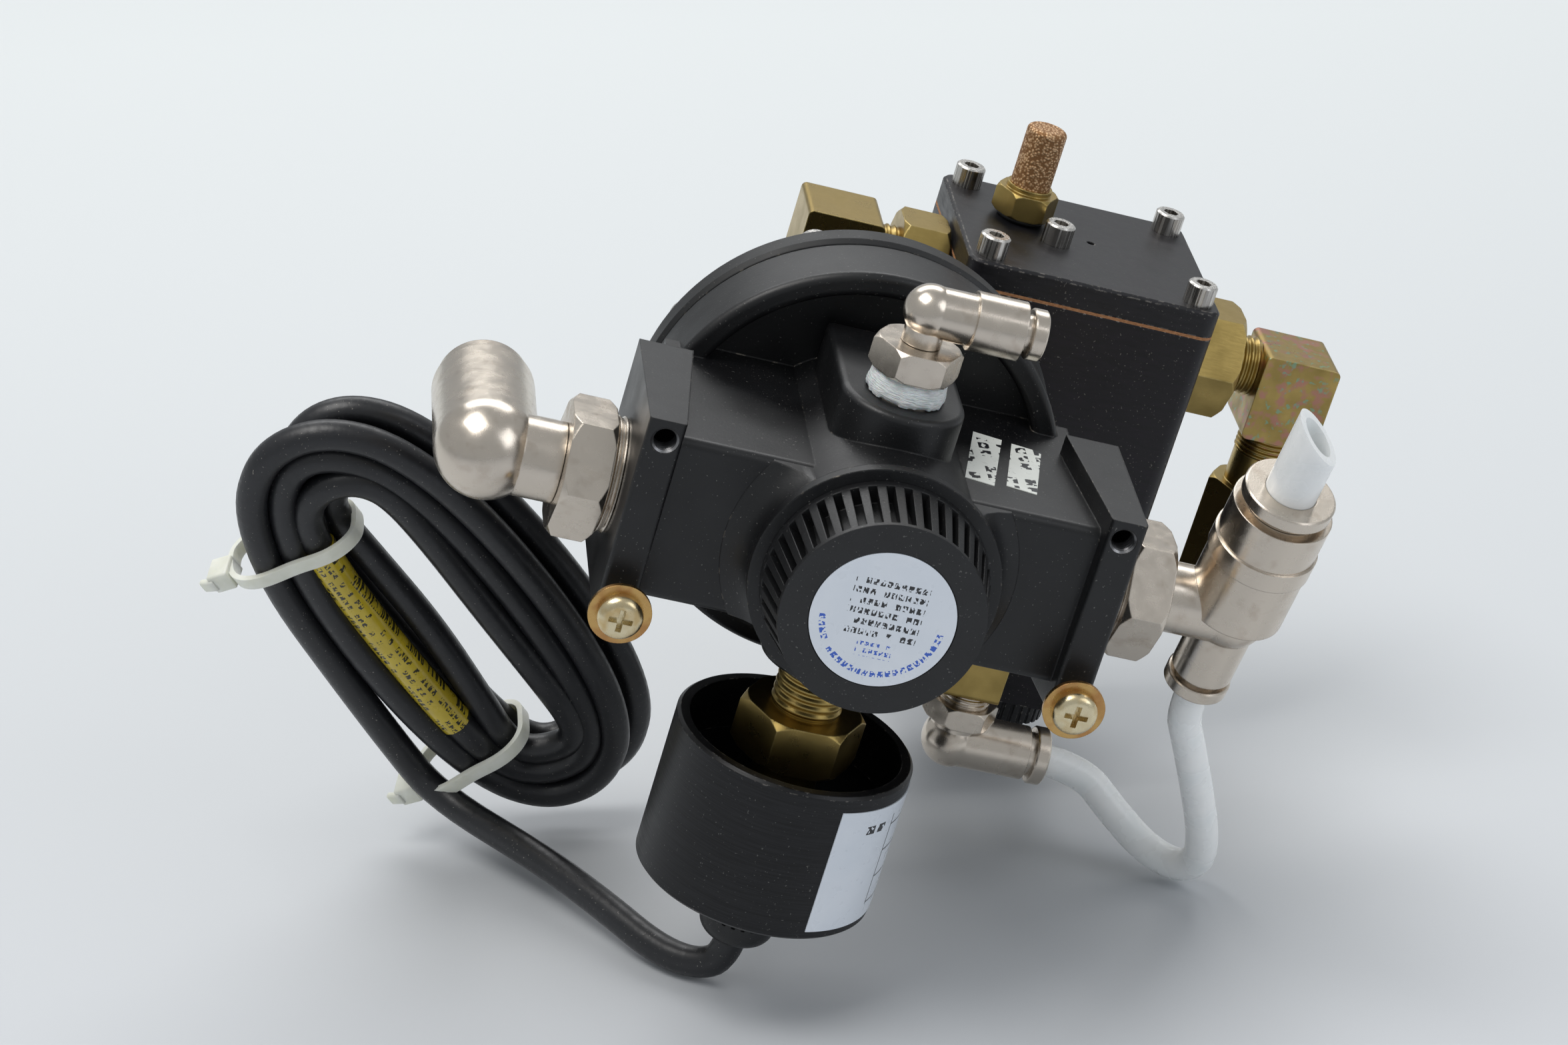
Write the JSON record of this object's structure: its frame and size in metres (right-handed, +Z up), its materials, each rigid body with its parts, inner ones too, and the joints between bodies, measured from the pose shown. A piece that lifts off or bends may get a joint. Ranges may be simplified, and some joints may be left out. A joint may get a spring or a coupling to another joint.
{
  "type": "air pressure regulator",
  "caption": "Pilot operated air pressure regulator with fluted valve cap, round diaphragm bonnet, pilot controller box, pressure transducer, push-in fittings and tied cable.",
  "frame": {"origin": "middle of the footprint of everything but the free cords, on the surface the assembly lies on", "axes": "+Z up, +Y from the valve cap back to the controller, +X towards the inlet; the regulator itself leans 16 degrees towards +X"},
  "size_m": [0.2224, 0.1467, 0.1393],
  "materials": {
    "cast_black": "die-cast zinc alloy in satin black powder paint",
    "cast_black_back": "die-cast bonnet in matt black paint",
    "steel_screw": "stainless steel socket head screws",
    "rubber_black": "moulded nitrile rubber",
    "turned_aluminium": "turned aluminium",
    "brass": "machined brass, lightly tarnished",
    "spring_steel": "spring wire",
    "moulded_black": "glass filled nylon moulding",
    "label_white": "white vinyl label",
    "zinc_yellow": "yellow passivated zinc plate",
    "zinc_yellow_screw": "yellow passivated zinc plate",
    "nickel": "satin nickel plated brass",
    "nylon_tube": "natural nylon tube, milky translucent",
    "tape_white": "thread sealing tape",
    "anodised_black": "black anodised turned aluminium",
    "board_green": "circuit board",
    "cable_black": "black PVC cable jacket",
    "nylon_white": "natural nylon",
    "controller_black": "black anodised machined aluminium",
    "kraft_gasket": "brown fibre gasket",
    "cover_black": "black anodised plate",
    "sintered_bronze": "sintered bronze grains",
    "connector_grey": "grey connector body"
  },
  "bodies": {
    "root": {"bonnet": "cast_black_back", "bonnet_screws": "steel_screw", "cable_gland": "moulded_black", "cable_tie_lower": "nylon_white", "cable_tie_upper": "nylon_white", "cap_label": "label_white", "cap_seal_ring": "rubber_black", "connector_plug": "connector_grey", "connector_ring": "anodised_black", "controller_board": "board_green", "controller_cover": "cover_black", "controller_gasket": "kraft_gasket", "controller_housing": "controller_black", "cover_screws": "steel_screw", "diaphragm": "rubber_black", "feed_elbow": "nickel", "feed_street_elbow": "brass", "flange_screws": "zinc_yellow_screw", "flange_washers": "zinc_yellow", "gauge_stem": "nickel", "inlet_stem": "nickel", "inlet_tee": "nickel", "left_bushing": "brass", "left_elbow": "brass", "line_filter": "brass", "outlet_stem": "nickel", "pilot_air_hose": "nylon_tube", "pilot_elbow": "brass", "regulator_body": "cast_black", "right_bushing": "brass", "right_elbow": "brass", "sealing_tape": "tape_white", "sensor_board": "board_green", "sensor_cable_coil": "cable_black", "sensor_cable_lead": "cable_black", "sensor_capsule": "turned_aluminium", "silencer_element": "sintered_bronze", "silencer_hexagon": "brass", "silencer_seal_ring": "rubber_black", "solenoid_valves": "moulded_black", "supply_tube_stub": "nylon_tube", "transducer_housing": "anodised_black", "transducer_label": "label_white", "transducer_nipple": "brass", "transducer_nut": "brass", "valve_cap": "moulded_black", "valve_seat": "brass"},
    "valve_stack": {"main_valve": "brass", "valve_spring": "spring_steel", "diaphragm_plates": "turned_aluminium"},
    "gauge_swivel": {"gauge_elbow": "nickel"},
    "gauge_release": {"gauge_collet": "nickel"},
    "outlet_swivel": {"outlet_elbow": "nickel"},
    "outlet_release": {"outlet_collet": "nickel"},
    "supply_release": {"supply_collet": "nickel"},
    "tee_release": {"tee_branch_collet": "nickel"},
    "feed_release": {"feed_collet": "nickel"}
  },
  "joints": [
    {"name": "valve_lift", "type": "slide", "parent": "root", "child": "valve_stack", "axis": [0, -1, 0], "range_m": [0, 0.003], "stiffness_N_per_m": 3000, "springref_m": -0.003},
    {"name": "gauge_elbow_turn", "type": "hinge", "parent": "root", "child": "gauge_swivel", "pos_m": [-0.00239, -0.0376, 0.13453], "axis": [0.2756, 0, 0.9613], "range_deg": [-180, 40]},
    {"name": "gauge_collet_push", "type": "slide", "parent": "gauge_swivel", "child": "gauge_release", "axis": [-0.9613, 0, 0.2756], "range_m": [0, 0.001], "stiffness_N_per_m": 400, "springref_m": -0.001},
    {"name": "outlet_elbow_turn", "type": "hinge", "parent": "root", "child": "outlet_swivel", "pos_m": [-0.08015, -0.0376, 0.11188], "axis": [0.9613, 0, -0.2756], "range_deg": [0, 150]},
    {"name": "outlet_collet_push", "type": "slide", "parent": "outlet_swivel", "child": "outlet_release", "axis": [0, -1, 0], "range_m": [0, 0.001], "stiffness_N_per_m": 400, "springref_m": -0.001},
    {"name": "supply_collet_push", "type": "slide", "parent": "root", "child": "supply_release", "axis": [-0.2636, 0.2924, -0.9193], "range_m": [0, 0.001], "stiffness_N_per_m": 400, "springref_m": -0.001},
    {"name": "tee_branch_collet_push", "type": "slide", "parent": "root", "child": "tee_release", "axis": [0.2636, -0.2924, 0.9193], "range_m": [0, 0.001], "stiffness_N_per_m": 400, "springref_m": -0.001},
    {"name": "feed_collet_push", "type": "slide", "parent": "root", "child": "feed_release", "axis": [-0.9613, 0, 0.2756], "range_m": [0, 0.001], "stiffness_N_per_m": 400, "springref_m": -0.001}
  ]
}
